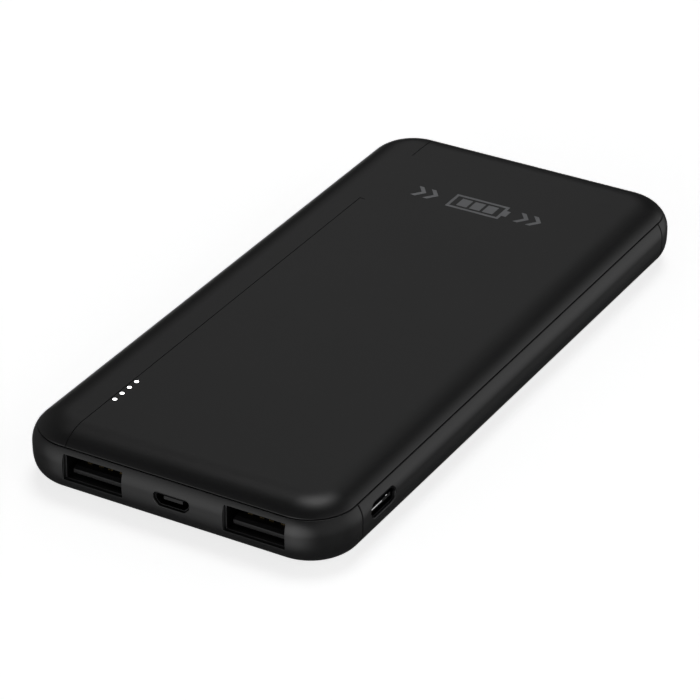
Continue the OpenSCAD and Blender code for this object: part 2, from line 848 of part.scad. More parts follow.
module controller_chip() {
    size = [5, 5, 0.85];
    at = [-8.6, -52.5];
    dimple = [0.6, 0.1, 0.8];     // diameter, depth, distance from the edges
    color(insulator)
    difference() {
        translate([at[0] - size[0] / 2, at[1] - size[1] / 2, board_z]) cube(size);
        translate([at[0] - size[0] / 2 + dimple[2], at[1] + size[1] / 2 - dimple[2],
                   board_z + size[2] - dimple[1]])
            cylinder(d = dimple[0], h = dimple[1] + over);
    }
}

// A chip with four leads on each long side
module leaded_chip(at, body, lead, pitch) {
    lift = 0.1;
    root = 0.1;                   // how far a lead reaches into the body
    translate([at[0] - body[0] / 2, at[1] - body[1] / 2, board_z + lift])
        cube([body[0], body[1], body[2] - lift]);
    for (k = [-1, 1]) for (i = [0 : 3])
        translate([at[0] + k * ((body[0] + lead[0]) / 2 - root) - lead[0] / 2,
                   at[1] + (i - 1.5) * pitch - lead[1] / 2, board_z])
            cube(lead);
}

// Two eight-lead transistors beside the inductor
module power_transistors() {
    color(insulator)
    for (y = [-55.6, -49]) leaded_chip([10, y], [4, 5, 1.5], [0.9, 0.4, 0.2], 1.27);
}

// Solid capacitors: a round can on a square foot
module output_capacitors() {
    can = [6.3, 5.4];
    foot = [6.6, 0.6];
    x = 18.6;
    color(metal)
    for (y = [-55, -47.8])
        translate([x, y, board_z]) {
            translate([-foot[0] / 2, -foot[0] / 2, 0]) cube([foot[0], foot[0], foot[1]]);
            translate([0, 0, foot[1] - eps]) cylinder(d = can[0], h = can[1] - foot[1]);
        }
}

module chip_row(size, at, pitch, count) {
    for (i = [0 : count - 1])
        translate([at[0] + i * pitch - size[0] / 2, at[1] - size[1] / 2, board_z]) cube(size);
}

module ceramic_capacitors() {
    large = [1.6, 3.2, 1.4];
    small = [1.25, 2, 1.1];
    color([0.62, 0.5, 0.36]) {
        chip_row(large, [-17.6, -47.5], 2.4, 3);
        chip_row(small, [-2.4, -47], 2.1, 4);
        chip_row(small, [-6.2, -61], 2.2, 2);
    }
}

module chip_resistors() {
    size = [0.8, 1.6, 0.45];
    color([0.1, 0.1, 0.11]) {
        chip_row(size, [-17.6, -53], 1.5, 3);
        chip_row(size, [-17.6, -56], 1.5, 3);
        chip_row(size, [0, -61], 1.4, 5);
    }
}

// Cell protection: two small chips near the USB-C socket
module protection_chips() {
    color(insulator)
    for (y = [-56, -50.6]) leaded_chip([24.4, y], [3, 4.4, 1.1], [0.55, 0.25, 0.2], 0.95);
}

// ---- Cells ------------------------------------------------------------------------

cell_gap = 0.2;
cell_upper_z = cell_z + cell_size[2] + cell_gap;

// One pouch cell: rounded long edges, and the flat sealed end that its tabs leave
module cell(z) {
    r = 2;
    w = cell_size[0];
    l = cell_size[1];
    t = cell_size[2];
    corner = 3;
    seal = [50, 4, 0.4];
    color(pouch)
    union() {
        intersection() {
            translate([0, cell_y + l, z])
                rotate([90, 0, 0])
                linear_extrude(l)
                union() {
                    translate([-w / 2, r]) square([w, t - 2 * r]);
                    translate([-w / 2 + r, 0]) square([w - 2 * r, t]);
                    for (sx = [-1, 1]) for (y = [r, t - r])
                        translate([sx * (w / 2 - r), y]) circle(r = r);
                }
            translate([0, cell_y + l / 2, z])
                linear_extrude(t)
                union() {
                    square([w - 2 * corner, l], center = true);
                    square([w, l - 2 * corner], center = true);
                    for (sx = [-1, 1]) for (sy = [-1, 1])
                        translate([sx * (w / 2 - corner), sy * (l / 2 - corner)]) circle(r = corner);
                }
        }
        translate([-seal[0] / 2, cell_y - seal[1], z + (t - seal[2]) / 2])
            cube([seal[0], seal[1] + eps, seal[2]]);
    }
}

module battery_cell_lower() { cell(cell_z); }
module battery_cell_upper() { cell(cell_upper_z); }

// A thin sheet over the cells, inset from their edges
module sheet_over(z, t, inset) {
    w = cell_size[0] - 2 * inset;
    l = cell_size[1] - 2 * inset;
    translate([-w / 2, cell_y + inset, z]) cube([w, l, t]);
}

tape = [0.9, 0.9, 0.88];
module cell_bottom_tape() { color(tape) sheet_over(wall, cell_z - wall, 8); }
module cell_middle_tape() { color(tape) sheet_over(cell_z + cell_size[2], cell_gap, 5); }
module cell_top_foam() {
    roof_gap = 0.05;
    top = cell_upper_z + cell_size[2];
    color([0.3, 0.3, 0.3]) sheet_over(top, roof_z - roof_gap - top, 6);
}

// Nickel strip that joins the two cells and runs forward onto the board
module cell_tab(x) {
    w = 4;
    t = 0.15;
    seal_y = cell_y - 4;
    riser_y = seal_y - 0.7;
    foot_y = board_rear_y - 2.4;
    low = cell_z + cell_size[2] / 2;
    high = cell_upper_z + cell_size[2] / 2;
    color(metal)
    union() {
        slab(x - w / 2, x + w / 2, riser_y, riser_y + t, low - t / 2, high + t / 2);
        for (z = [low, high]) slab(x - w / 2, x + w / 2, riser_y, seal_y, z - t / 2, z + t / 2);
        slab(x - w / 2, x + w / 2, foot_y, riser_y + eps, board_z, board_z + t);
    }
}

module positive_tab() { cell_tab(-8); }
module negative_tab() { cell_tab(8); }

// Paper sheet between the strips and the parts on the board
module tab_insulator() {
    w = 32;
    y = [cell_y - 5.1, cell_y - 4.9];
    z = [board_z + 0.3, roof_z - 0.2];
    color([0.75, 0.6, 0.35]) slab(-w / 2, w / 2, y[0], y[1], z[0], z[1]);
}

top_cover();
bottom_cover();
front_cap();
rear_cap();
printed_mark();
power_button();
switch_plunger();
switch_body();
main_board();
board_screws();
usb_a_left_shell();
usb_a_left_tongue();
usb_a_left_contacts();
usb_a_right_shell();
usb_a_right_tongue();
usb_a_right_contacts();
micro_usb_shell();
micro_usb_tongue();
micro_usb_contacts();
usb_c_shell();
usb_c_tongue();
usb_c_contacts();
light_guide();
light_baffle();
charge_leds();
power_inductor();
controller_chip();
power_transistors();
output_capacitors();
ceramic_capacitors();
chip_resistors();
protection_chips();
battery_cell_lower();
battery_cell_upper();
cell_bottom_tape();
cell_middle_tape();
cell_top_foam();
positive_tab();
negative_tab();
tab_insulator();
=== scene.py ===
from math import asin, cos, pi, radians, sin, tan

import bmesh
import bpy
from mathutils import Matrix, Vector


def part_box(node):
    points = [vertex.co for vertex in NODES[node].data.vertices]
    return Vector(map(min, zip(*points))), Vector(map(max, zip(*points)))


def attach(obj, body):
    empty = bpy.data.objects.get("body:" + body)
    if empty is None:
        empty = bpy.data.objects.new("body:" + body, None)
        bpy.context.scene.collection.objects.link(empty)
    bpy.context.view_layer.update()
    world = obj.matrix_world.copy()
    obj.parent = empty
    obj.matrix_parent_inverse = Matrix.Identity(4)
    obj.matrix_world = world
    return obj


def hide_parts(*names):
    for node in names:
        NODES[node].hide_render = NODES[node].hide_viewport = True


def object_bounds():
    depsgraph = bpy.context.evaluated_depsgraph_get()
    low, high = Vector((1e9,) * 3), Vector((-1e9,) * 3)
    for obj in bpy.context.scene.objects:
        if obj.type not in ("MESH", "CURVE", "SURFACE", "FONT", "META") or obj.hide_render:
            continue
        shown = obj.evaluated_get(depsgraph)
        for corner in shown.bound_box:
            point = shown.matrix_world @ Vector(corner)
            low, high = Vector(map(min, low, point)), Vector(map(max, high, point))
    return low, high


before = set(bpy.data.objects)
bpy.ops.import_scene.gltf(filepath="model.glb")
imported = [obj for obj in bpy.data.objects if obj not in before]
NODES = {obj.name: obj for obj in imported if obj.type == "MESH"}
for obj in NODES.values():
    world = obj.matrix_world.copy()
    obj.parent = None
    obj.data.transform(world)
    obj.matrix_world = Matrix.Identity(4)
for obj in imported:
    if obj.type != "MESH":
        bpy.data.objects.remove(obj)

# Slim pocket power bank, at rest on a pale floor. Lengths here are in millimetres; MM turns them
# into Blender's metres. +X is the side with the USB-C port, -Y the end with the other ports.

MM = 0.001
CAD_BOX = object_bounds()


def box(node):
    """Lowest and highest corner of a CAD node in millimetres."""
    return [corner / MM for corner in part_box(node)]


# ---- Sizes that the mouldings share with the CAD source --------------------------------

HALF_W, HALF_L = (side / MM for side in CAD_BOX[1][:2])
DECK_Z = box("top_cover")[1].z           # flat top
PARTING = (box("rear_cap")[1].z, box("rear_cap")[1].z + 0.15)   # lower and upper edge of the gap
SEAM_GAP = 0.25
SEAM_YS = (box("bottom_cover")[0].y - SEAM_GAP / 2, box("bottom_cover")[1].y + SEAM_GAP / 2)
CORNER_R = 10.6
WAIST_Z = 7.05
CROWN_IN, CROWN_N = 7.8, 2.18
KEEL_IN, KEEL_N = 10.3, 3.41
CORNER_STEPS = 40                        # flats in a quarter turn of the plan

SKIN_T = 0.8                             # outer part of a wall, modelled smooth
CORE_T = 0.7                             # the CAD's own wall carries on from here inwards
LIP_R = 0.12                             # rounding of the top cover's lower edge
BAND_R = 0.12                            # rounding of the lower case's upper edge
SEAM_EASE = 0.1                          # chamfer at the upright seams
PORT_EASE = 0.22                         # rounding of the small port openings
USB_A_EASE = 0.07                        # the same for the two large ones

GROOVE_X = -23.2
GROOVE_W = 0.2
GROOVE_D = 0.16
HOOK_Y, HOOK_L = 37.9, 1.3
TAIL_Y = 60.4

USB_A_OPENING = (13.04, 5.37)
USB_A_Z = 6.75
MICRO_Z = 5.13
USB_C_OPENING = (9.04, 3.24)
TIP_OUT = 0.1                            # how far the USB-C tongue's plate stands out
KEY_FACE = (8.6, 3.2)
KEY_GAP = 0.15
LED_PITCH = 2.52
LED_WINDOW_D = 0.98

VIEW_AZIMUTH, VIEW_ELEVATION = radians(30), radians(30)
VIEW_AIM = Vector((1.23, -8.69, 6.55))
VIEW_DISTANCE = 694.7
VIEW_LENS = 180.98


# ---- Mesh tools ------------------------------------------------------------------------

def add_object(name, bm):
    """A mesh object made from the bmesh, with outward normals."""
    bmesh.ops.recalc_face_normals(bm, faces=bm.faces)
    mesh = bpy.data.meshes.new(name)
    bm.to_mesh(mesh)
    bm.free()
    obj = bpy.data.objects.new(name, mesh)
    bpy.context.scene.collection.objects.link(obj)
    return obj


def loft(name, rings, closed=False):
    """A solid through rings of points in millimetres: flat ends, or joined up end to end."""
    bm = bmesh.new()
    layers = [[bm.verts.new(Vector(p) * MM) for p in ring] for ring in rings]
    count = len(layers[0])
    for a, b in zip(layers, layers[1:] + layers[:1] if closed else layers[1:]):
        for i in range(count):
            j = (i + 1) % count
            bm.faces.new((a[i], a[j], b[j], b[i]))
    if not closed:
        bm.faces.new(layers[0])
        bm.faces.new(layers[-1])
    return add_object(name, bm)


def arc(before, corner, after, radius, steps):
    """Points round one corner of a flat outline, with that radius."""
    back, on = (before - corner).normalized(), (after - corner).normalized()
    half = back.angle(on) / 2
    reach = radius / tan(half)
    centre = corner + (back + on).normalized() * radius / sin(half)
    start, end = corner + back * reach - centre, corner + on * reach - centre
    return [centre + start.lerp(end, k / steps).normalized() * radius for k in range(steps + 1)]


def rounded(corners, radius, steps=5):
    """The outline through the corners, each one rounded."""
    at = [Vector(c) for c in corners]
    return [p for i in range(len(at))
            for p in arc(at[i - 1], at[i], at[(i + 1) % len(at)], radius, steps)]


def rectangle(w, h, radius, steps=5):
    """A rounded rectangle about the origin."""
    return rounded([(-w / 2, -h / 2), (w / 2, -h / 2), (w / 2, h / 2), (-w / 2, h / 2)],
                   radius, steps)


def grow(outline, by):
    """The convex, anticlockwise outline with every side moved outwards."""
    moved = []
    for i, p in enumerate(outline):
        into, out = p - outline[i - 1], outline[(i + 1) % len(outline)] - p
        n1 = Vector((into.y, -into.x)).normalized()
        n2 = Vector((out.y, -out.x)).normalized()
        mitre = (n1 + n2).normalized()
        moved.append(p + mitre * by / max(mitre.dot(n1), 0.5))
    return moved


def pull(name, outline, place, steps, closed=False):
    """A solid from copies of an outline: steps are (growth, depth), and place(u, v, depth) is
    where a point of the outline lies at that depth."""
    return loft(name, [[place(p.x, p.y, depth) for p in grow(outline, by)]
                       for by, depth in steps], closed)


def block(name, low, high):
    """A box between two corners, used to cut other shapes or as part of one."""
    outline = [Vector(p) for p in ((low[0], low[1]), (high[0], low[1]),
                                   (high[0], high[1]), (low[0], high[1]))]
    return pull(name, outline, lambda u, v, d: (u, v, d), [(0, low[2]), (0, high[2])])


def join(obj, other, operation):
    """Cuts, adds or keeps the overlap of other in obj, and removes other."""
    step = obj.modifiers.new(operation, "BOOLEAN")
    step.operation, step.solver, step.object = operation, "MANIFOLD", other
    graph = bpy.context.evaluated_depsgraph_get()
    mesh = bpy.data.meshes.new_from_object(obj.evaluated_get(graph), depsgraph=graph)
    obj.modifiers.clear()
    obj.data = mesh
    bpy.data.objects.remove(other)
    return obj


def cad_copy(name, node):
    """A new object with the shape of a CAD node, its doubled points welded."""
    bm = bmesh.new()
    bm.from_mesh(NODES[node].data)
    bmesh.ops.remove_doubles(bm, verts=bm.verts, dist=0.0005 * MM)
    return add_object(name, bm)


def shade(obj, angle=30):
    """Smooth shading with sharp edges, flats kept flat."""
    bm = bmesh.new()
    bm.from_mesh(obj.data)
    for face in bm.faces:
        face.smooth = True
    for edge in bm.edges:
        edge.smooth = edge.is_manifold and edge.calc_face_angle(0) < radians(angle)
    bm.to_mesh(obj.data)
    bm.free()
    flats = obj.modifiers.new("flats", "WEIGHTED_NORMAL")
    flats.keep_sharp = True
    return obj


# ---- The case's surface ----------------------------------------------------------------

def span(z, t):
    """Height between the waist and the flat above or below it, and the curve's two numbers."""
    if z >= WAIST_Z:
        return DECK_Z - WAIST_Z - t, CROWN_IN - t, CROWN_N
    return WAIST_Z - t, KEEL_IN - t, KEEL_N


def inset_at(z, t=0.0):
    """How far in from the widest line the surface t inside the case's own lies at height z."""
    height, reach, n = span(z, t)
    share = min(abs(z - WAIST_Z) / height, 1)
    return t + reach * (1 - (1 - share ** n) ** (1 / n))


def side_line(t, low, high, steps=28):
    """(inset, height) points up that surface from one height to another."""
    def turn(z):
        height, _, n = span(z, t)
        s = asin(min(abs(z - WAIST_Z) / height, 1) ** (n / 2))
        return s if z >= WAIST_Z else -s

    line = []
    for i in range(steps + 1):
        s = turn(low) + (turn(high) - turn(low)) * i / steps
        height, reach, n = span(WAIST_Z + s, t)
        rise = height * sin(abs(s)) ** (2 / n)
        line.append(Vector((t + reach * (1 - max(cos(s), 0) ** (2 / n)),
                            WAIST_Z + (rise if s >= 0 else -rise))))
    return line


def plan_ring(inset, z):
    """Level line round the case at an inset from its widest line."""
    ring = []
    for quarter in range(4):
        sx = 1 if quarter in (0, 3) else -1
        sy = 1 if quarter < 2 else -1
        for step in range(CORNER_STEPS + 1):
            a = pi / 2 * (quarter + step / CORNER_STEPS)
            r = CORNER_R - inset
            ring.append((sx * (HALF_W - CORNER_R) + r * cos(a),
                         sy * (HALF_L - CORNER_R) + r * sin(a), z))
    return ring


def sweep(name, line):
    """A solid whose side line runs round the case, closed by its first and last level."""
    return loft(name, [plan_ring(p.x, p.y) for p in line])


def on_front(u, v, depth):
    """A point behind the front end's surface: u across, v up."""
    return u, -HALF_L + inset_at(v) + depth, v


def on_side(side):
    """The same for the right (1) or left (-1) side: u along it, v up."""
    return lambda u, v, depth: (side * (HALF_W - inset_at(v) - depth), u, v)


# ---- Mouldings of the case -------------------------------------------------------------

def lower_skin(name):
    """Outer part of the lower case's wall, all three mouldings in one."""
    top = PARTING[0] + 0.025
    edge = Vector((inset_at(top), top))
    below = Vector((inset_at(top - 0.2), top - 0.2))
    lip = arc(below, edge, edge + Vector((1, 0)), BAND_R, 5)
    inner = side_line(SKIN_T, SKIN_T, top)
    return sweep(name, side_line(0, 0, lip[0].y - 0.01, 44) + lip + inner[::-1])


def upper_skin(name):
    """Outer part of the top cover's wall."""
    low = PARTING[1] - 0.025
    edge = Vector((inset_at(low), low))
    above = Vector((inset_at(low + 0.3), low + 0.3))
    lip = arc(above, edge, edge + Vector((1, 0)), LIP_R, 8)
    outer = side_line(0, lip[0].y + 0.01, DECK_Z, 36)
    return sweep(name, outer[::-1] + lip + side_line(SKIN_T, low, DECK_Z - SKIN_T))


def add_core(obj, node):
    """Adds the CAD node's own wall, ribs, posts and catches behind the smooth skin."""
    inside = cad_copy("inside", node)
    join(inside, sweep("core", side_line(CORE_T, CORE_T, DECK_Z - CORE_T)), "INTERSECT")
    return join(obj, inside, "UNION")


def seam_groove(y):
    """Ring that chamfers both edges of the upright seam at y."""
    out, deep = 0.3, SEAM_EASE
    rings = []
    for t, half in ((-out, SEAM_GAP / 2 + SEAM_EASE + out), (deep, SEAM_GAP / 2)):
        line = side_line(t, t, DECK_Z - t)
        around = ([(HALF_W - p.x, p.y) for p in line]
                  + [(p.x - HALF_W, p.y) for p in reversed(line)])
        halves = (-half, half) if t < 0 else (half, -half)
        rings += [[(x, y + h, z) for x, z in around] for h in halves]
    return loft("seam_groove", rings, closed=True)


def lower_piece(name, node, y0, y1):
    """One moulding of the lower case, between two seams."""
    obj = lower_skin(name)
    for y in SEAM_YS:
        join(obj, seam_groove(y), "DIFFERENCE")
    join(obj, block("keep", (-90, y0, -9), (90, y1, 30)), "INTERSECT")
    return add_core(obj, node)


def port(outline, place, ease, depth):
    """Cutter for an opening, with a rounded edge that follows the curved surface."""
    steps = [(1.1 * ease, -1), (1.1 * ease, -0.1 * ease)]
    for angle in (20, 42, 66, 90):
        a = radians(angle)
        steps.append((ease * (1 - sin(a)), ease * (1 - cos(a))))
    return pull("port", outline, place, steps + [(0, depth)])


def moved(outline, u, v):
    return [p + Vector((u, v)) for p in outline]


def middle(node):
    low, high = box(node)
    return (low + high) / 2


def micro_outline(w, h, radius):
    """Micro-B outline, wide side up, standing on v = 0."""
    chamfer, straight = 1.06, 0.42 * h
    return rounded([(-w / 2 + chamfer, 0), (w / 2 - chamfer, 0), (w / 2, straight), (w / 2, h),
                    (-w / 2, h), (-w / 2, straight)], radius)


def groove_part(y0, y1):
    """Cutter for a stretch of the fine line along the top, over an end where it reaches one."""
    def along(t):
        low = PARTING[0]
        line = [(HALF_L - p.x, p.y) for p in side_line(t, low, DECK_Z - t)]
        front = [(-y, z) for y, z in line]
        if y0 > 0:
            return [(y0, DECK_Z - t)] + line[::-1]
        return front + [(y1, DECK_Z - t)]

    outline = along(-0.5) + along(GROOVE_D)[::-1]
    return loft("groove", [[(GROOVE_X + s * GROOVE_W / 2, y, z) for y, z in outline]
                           for s in (-1, 1)])


def led_ys():
    centre = middle("light_guide").y
    return [centre + (i - 1.5) * LED_PITCH for i in range(4)]


def led_x():
    return middle("charge_leds").x


def top_cover():
    obj = add_core(upper_skin("top_cover_moulding"), "top_cover")
    join(obj, groove_part(-HALF_L, HOOK_Y), "DIFFERENCE")
    join(obj, groove_part(TAIL_Y, HALF_L), "DIFFERENCE")
    start = GROOVE_X - GROOVE_W / 2
    join(obj, block("hook", (start, HOOK_Y - GROOVE_W, DECK_Z - GROOVE_D),
                    (start + HOOK_L, HOOK_Y + 0.01, DECK_Z + 1)), "DIFFERENCE")
    window = rectangle(LED_WINDOW_D, LED_WINDOW_D, LED_WINDOW_D / 2 - 0.001, 9)
    for y in led_ys():
        steps = [(0.3, 0.5), (0.06, 0.02), (0, -0.06), (0, -3)]
        join(obj, pull("window", moved(window, led_x(), y),
                       lambda u, v, d: (u, v, DECK_Z + d), steps), "DIFFERENCE")
    return obj


def front_cap():
    obj = lower_piece("front_cap_moulding", "front_cap", -90, SEAM_YS[0] - SEAM_GAP / 2)
    for side in ("left", "right"):
        x = middle(f"usb_a_{side}_shell").x
        outline = moved(rectangle(*USB_A_OPENING, 0.1, 3), x, USB_A_Z)
        join(obj, port(outline, on_front, USB_A_EASE, 3), "DIFFERENCE")
    micro = moved(micro_outline(7.64, 2.71, 0.75), middle("micro_usb_shell").x, MICRO_Z - 0.02)
    return join(obj, port(micro, on_front, PORT_EASE, 3), "DIFFERENCE")


def bottom_cover():
    obj = lower_piece("bottom_cover_moulding", "bottom_cover",
                      SEAM_YS[0] + SEAM_GAP / 2, SEAM_YS[1] - SEAM_GAP / 2)
    centre = middle("usb_c_shell").y, WAIST_Z
    w, h = USB_C_OPENING
    usb_c = moved(rectangle(w, h, h / 2 - 0.001, 9), *centre)
    join(obj, port(usb_c, on_side(1), PORT_EASE, 2.4), "DIFFERENCE")
    w, h = (side + 2 * KEY_GAP + 0.04 for side in KEY_FACE)
    key = moved(rectangle(w, h, h / 2 - 0.001, 9), *centre)
    return join(obj, port(key, on_side(-1), PORT_EASE, 2.4), "DIFFERENCE")


def rear_cap():
    return lower_piece("rear_cap_moulding", "rear_cap", SEAM_YS[1] + SEAM_GAP / 2, 90)


# ---- Sockets ---------------------------------------------------------------------------

def tube_steps(sheet, length, ease=0.06):
    """Sheet-metal tube: outside, back edge, inside and the rounded front rim."""
    return [(0, ease), (0, length), (-sheet, length), (-sheet, ease),
            (-sheet + ease * 0.6, 0), (-ease * 0.6, 0)]


def usb_a_shell(side):
    """Drawn shell with ears, and roof leaves bent down into the opening."""
    node = f"usb_a_{side}_shell"
    low, high = box(node)
    ear_w, sheet, length = 1.3, 0.3, high.y - low.y
    x, y0, board_z = (low.x + high.x) / 2, low.y, 5.2
    w, h = high.x - low.x - 2 * ear_w, high.z - low.z
    z = (low.z + high.z) / 2

    def place(u, v, depth):
        return x + u, y0 + depth, z + v

    obj = pull(f"{node}_metal", rectangle(w, h, 0.4), place, tube_steps(sheet, length), True)
    leaf_w, leaf_l, leaf_y = 1.8, 5, 2.6
    for k in (-1, 1):
        at = x + k * 3.1
        join(obj, block("cut", (at - leaf_w / 2, y0 + leaf_y, z),
                        (at + leaf_w / 2, y0 + leaf_y + leaf_l, high.z + 1)), "DIFFERENCE")
        path = [(leaf_y + leaf_l + 0.4, 0), (leaf_y + leaf_l - 0.3, 0), (leaf_y + 2.6, -0.45),
                (leaf_y + 1.3, -0.62), (leaf_y + 0.4, -0.3)]
        outline = ([Vector((y0 + p, high.z - sheet + 0.05 + q)) for p, q in path]
                   + [Vector((y0 + p, high.z - sheet + 0.25 + q)) for p, q in path[::-1]])
        leaf = loft("leaf", [[(at + s * (leaf_w / 2 - 0.2), p.x, p.y) for p in outline]
                             for s in (-1, 1)])
        join(obj, leaf, "UNION")
    for ear_y in (3.2, 9.6):
        for k in (-1, 1):
            edge = x + k * (w / 2 - sheet / 2)
            tip = x + k * (w / 2 + ear_w)
            join(obj, block("ear", (min(edge, tip), y0 + ear_y - 1.1, board_z),
                            (max(edge, tip), y0 + ear_y + 1.1, board_z + sheet)), "UNION")
    return obj


def micro_shell():
    low, high = box("micro_usb_shell")
    x = (low.x + high.x) / 2
    outline = micro_outline(high.x - low.x, high.z - low.z, 0.65)
    return pull("micro_usb_shell_metal", outline,
                lambda u, v, depth: (x + u, low.y + depth, low.z + v),
                tube_steps(0.25, high.y - low.y, 0.05), True)


def usb_c_shell():
    low, high = box("usb_c_shell")
    y, z, h = (low.y + high.y) / 2, WAIST_Z, 3.06
    obj = pull("usb_c_shell_metal", rectangle(high.y - low.y, h, h / 2 - 0.001, 9),
               lambda u, v, depth: (high.x - depth, y + u, z + v),
               tube_steps(0.26, high.x - low.x, 0.08), True)
    for depth in (3.6, 6):
        for k in (-1, 1):
            join(obj, block("foot", (high.x - depth - 0.5, y + 2 * k - 0.6, low.z),
                            (high.x - depth + 0.5, y + 2 * k + 0.6, z - h / 2 + 0.13)), "UNION")
    return obj


def usb_c_tongue():
    """The CAD's tongue, cut back a little so that its steel plate stands out of its tip."""
    tip_x = box("usb_c_tongue")[1].x
    return join(cad_copy("usb_c_tongue_moulding", "usb_c_tongue"),
                block("cut", (tip_x - TIP_OUT, -90, 0), (tip_x + 1, 0, 30)), "DIFFERENCE")


def usb_c_tip():
    """The rounded edge of the tongue's steel plate, and a short tab of it higher up."""
    low, high = box("usb_c_tongue")
    plate_z, plate_t, root = WAIST_Z + 0.08, 0.3, 0.5
    tab_up, tab_start, tab_end = 0.34, 1.45, 1.95
    middle = (low.y + high.y) / 2

    def edge(name, z, start, end):
        outline = rounded([(high.x - root, z - plate_t / 2), (high.x, z - plate_t / 2),
                           (high.x, z + plate_t / 2), (high.x - root, z + plate_t / 2)],
                          plate_t / 2 - 0.001, 7)
        return loft(name, [[(p.x, y, p.y) for p in outline] for y in (start, end)])

    plate = edge("usb_c_tongue_plate", plate_z, low.y + 0.1, middle + 0.1)
    tab = edge("tab", plate_z + tab_up, middle + tab_start, middle + tab_end)
    return join(plate, tab, "UNION")


def power_key():
    """The key: eased face, flange behind the wall, and nib."""
    low, high = box("power_button")
    y, z = (low.y + high.y) / 2, (low.z + high.z) / 2
    nib_l, flange_t = 0.6, 0.8
    flange_x = high.x - nib_l - flange_t

    def place(u, v, depth):
        return depth, y + u, z + v

    w, h = KEY_FACE
    face = rectangle(w, h, h / 2 - 0.001, 9)
    steps = [(-0.42, low.x + 0.03), (-0.3, low.x), (-0.12, low.x + 0.04), (-0.03, low.x + 0.12),
             (0, low.x + 0.25), (0, flange_x + 0.05)]
    obj = pull("power_button_key", face, place, steps)
    w, h = high.y - low.y, high.z - low.z
    flange = pull("flange", rectangle(w, h, h / 2 - 0.001, 9), place,
                  [(-0.1, flange_x), (0, flange_x + 0.1), (0, flange_x + flange_t)])
    join(obj, flange, "UNION")
    plunger = middle("switch_plunger")
    nib = moved(rectangle(1.8, 1.8, 0.899, 9), plunger.y - y, plunger.z - z)
    return join(obj, pull("nib", nib, place, [(0, high.x - nib_l - 0.05), (0, high.x - 0.1),
                                              (-0.1, high.x)]), "UNION")


# ---- Materials -------------------------------------------------------------------------

def material(name, colour, rough, metal=0.0, spread=0.1, cloud=60, grain=5000, depth=0.004,
             wear=0.0, stretch=(1, 1, 1), specular=0.5, second=None, light=0.0, clear=0.0,
             uneven=0.04):
    """A finish with cloudy changes of shade and gloss, a fine grain, and rubbed edges.
    cloud and grain are in repeats a metre, depth is the grain's height in millimetres, uneven
    is how far the roughness strays."""
    mat = bpy.data.materials.new(name)
    mat.use_nodes = True
    nodes, links = mat.node_tree.nodes, mat.node_tree.links
    shader = nodes["Principled BSDF"]

    def node(kind, **values):
        made = nodes.new(kind)
        for key, value in values.items():
            if hasattr(made, key):
                setattr(made, key, value)
            else:
                made.inputs[key.replace("_", " ")].default_value = value
        return made

    where = node("ShaderNodeTexCoord")
    scaled = node("ShaderNodeMapping", Scale=stretch)
    links.new(where.outputs["Object"], scaled.inputs["Vector"])

    def noise(scale, detail):
        made = node("ShaderNodeTexNoise", Scale=scale, Detail=detail)
        links.new(scaled.outputs["Vector"], made.inputs["Vector"])
        return made.outputs["Fac"]

    def ranged(value, low, high, start=0.3, end=0.7):
        made = node("ShaderNodeMapRange")
        for key, number in (("From Min", start), ("From Max", end), ("To Min", low),
                            ("To Max", high)):
            made.inputs[key].default_value = number
        links.new(value, made.inputs["Value"])
        return made.outputs["Result"]

    def mixed(share, a, b):
        made = node("ShaderNodeMix", data_type="RGBA")
        colour_a, colour_b = made.inputs[6], made.inputs[7]
        for socket, value in ((colour_a, a), (colour_b, b)):
            if hasattr(value, "is_linked"):
                links.new(value, socket)
            else:
                socket.default_value = (*value, 1)
        links.new(share, made.inputs[0])
        return made.outputs[2]

    cloudy = noise(cloud, 4)
    fine = noise(grain, 2)
    dark = [c * (1 - spread) for c in colour]
    pale = second or [min(c * (1 + spread), 1) for c in colour]
    shade_of = mixed(ranged(cloudy, 0, 1), dark, pale)
    gloss = ranged(cloudy, rough - uneven, rough + uneven)
    if wear:
        edge_r, smoother = 0.25, -0.12       # width of a rubbed edge, its change of roughness
        soft = node("ShaderNodeBevel", samples=4, Radius=edge_r * MM)
        true = node("ShaderNodeNewGeometry")
        turn = node("ShaderNodeVectorMath", operation="DOT_PRODUCT")
        links.new(soft.outputs["Normal"], turn.inputs[0])
        links.new(true.outputs["Normal"], turn.inputs[1])
        edge = ranged(turn.outputs["Value"], wear, 0, 0.8, 1)
        broken = node("ShaderNodeMath", operation="MULTIPLY")
        links.new(edge, broken.inputs[0])
        links.new(ranged(noise(900, 3), 0.2, 1), broken.inputs[1])
        rubbed = [c * 1.6 + 0.006 for c in colour]
        shade_of = mixed(broken.outputs["Value"], shade_of, rubbed)
        less = node("ShaderNodeMath", operation="MULTIPLY_ADD")
        links.new(broken.outputs["Value"], less.inputs[0])
        less.inputs[1].default_value = smoother
        links.new(gloss, less.inputs[2])
        gloss = less.outputs["Value"]
    bump = node("ShaderNodeBump", Strength=1.0, Distance=depth * MM)
    links.new(fine, bump.inputs["Height"])
    links.new(bump.outputs["Normal"], shader.inputs["Normal"])
    links.new(shade_of, shader.inputs["Base Color"])
    links.new(gloss, shader.inputs["Roughness"])
    shader.inputs["Metallic"].default_value = metal
    shader.inputs["Specular IOR Level"].default_value = specular
    shader.inputs["Transmission Weight"].default_value = clear
    if light:
        shader.inputs["Emission Color"].default_value = (1, 1, 1, 1)
        shader.inputs["Emission Strength"].default_value = light
    return mat


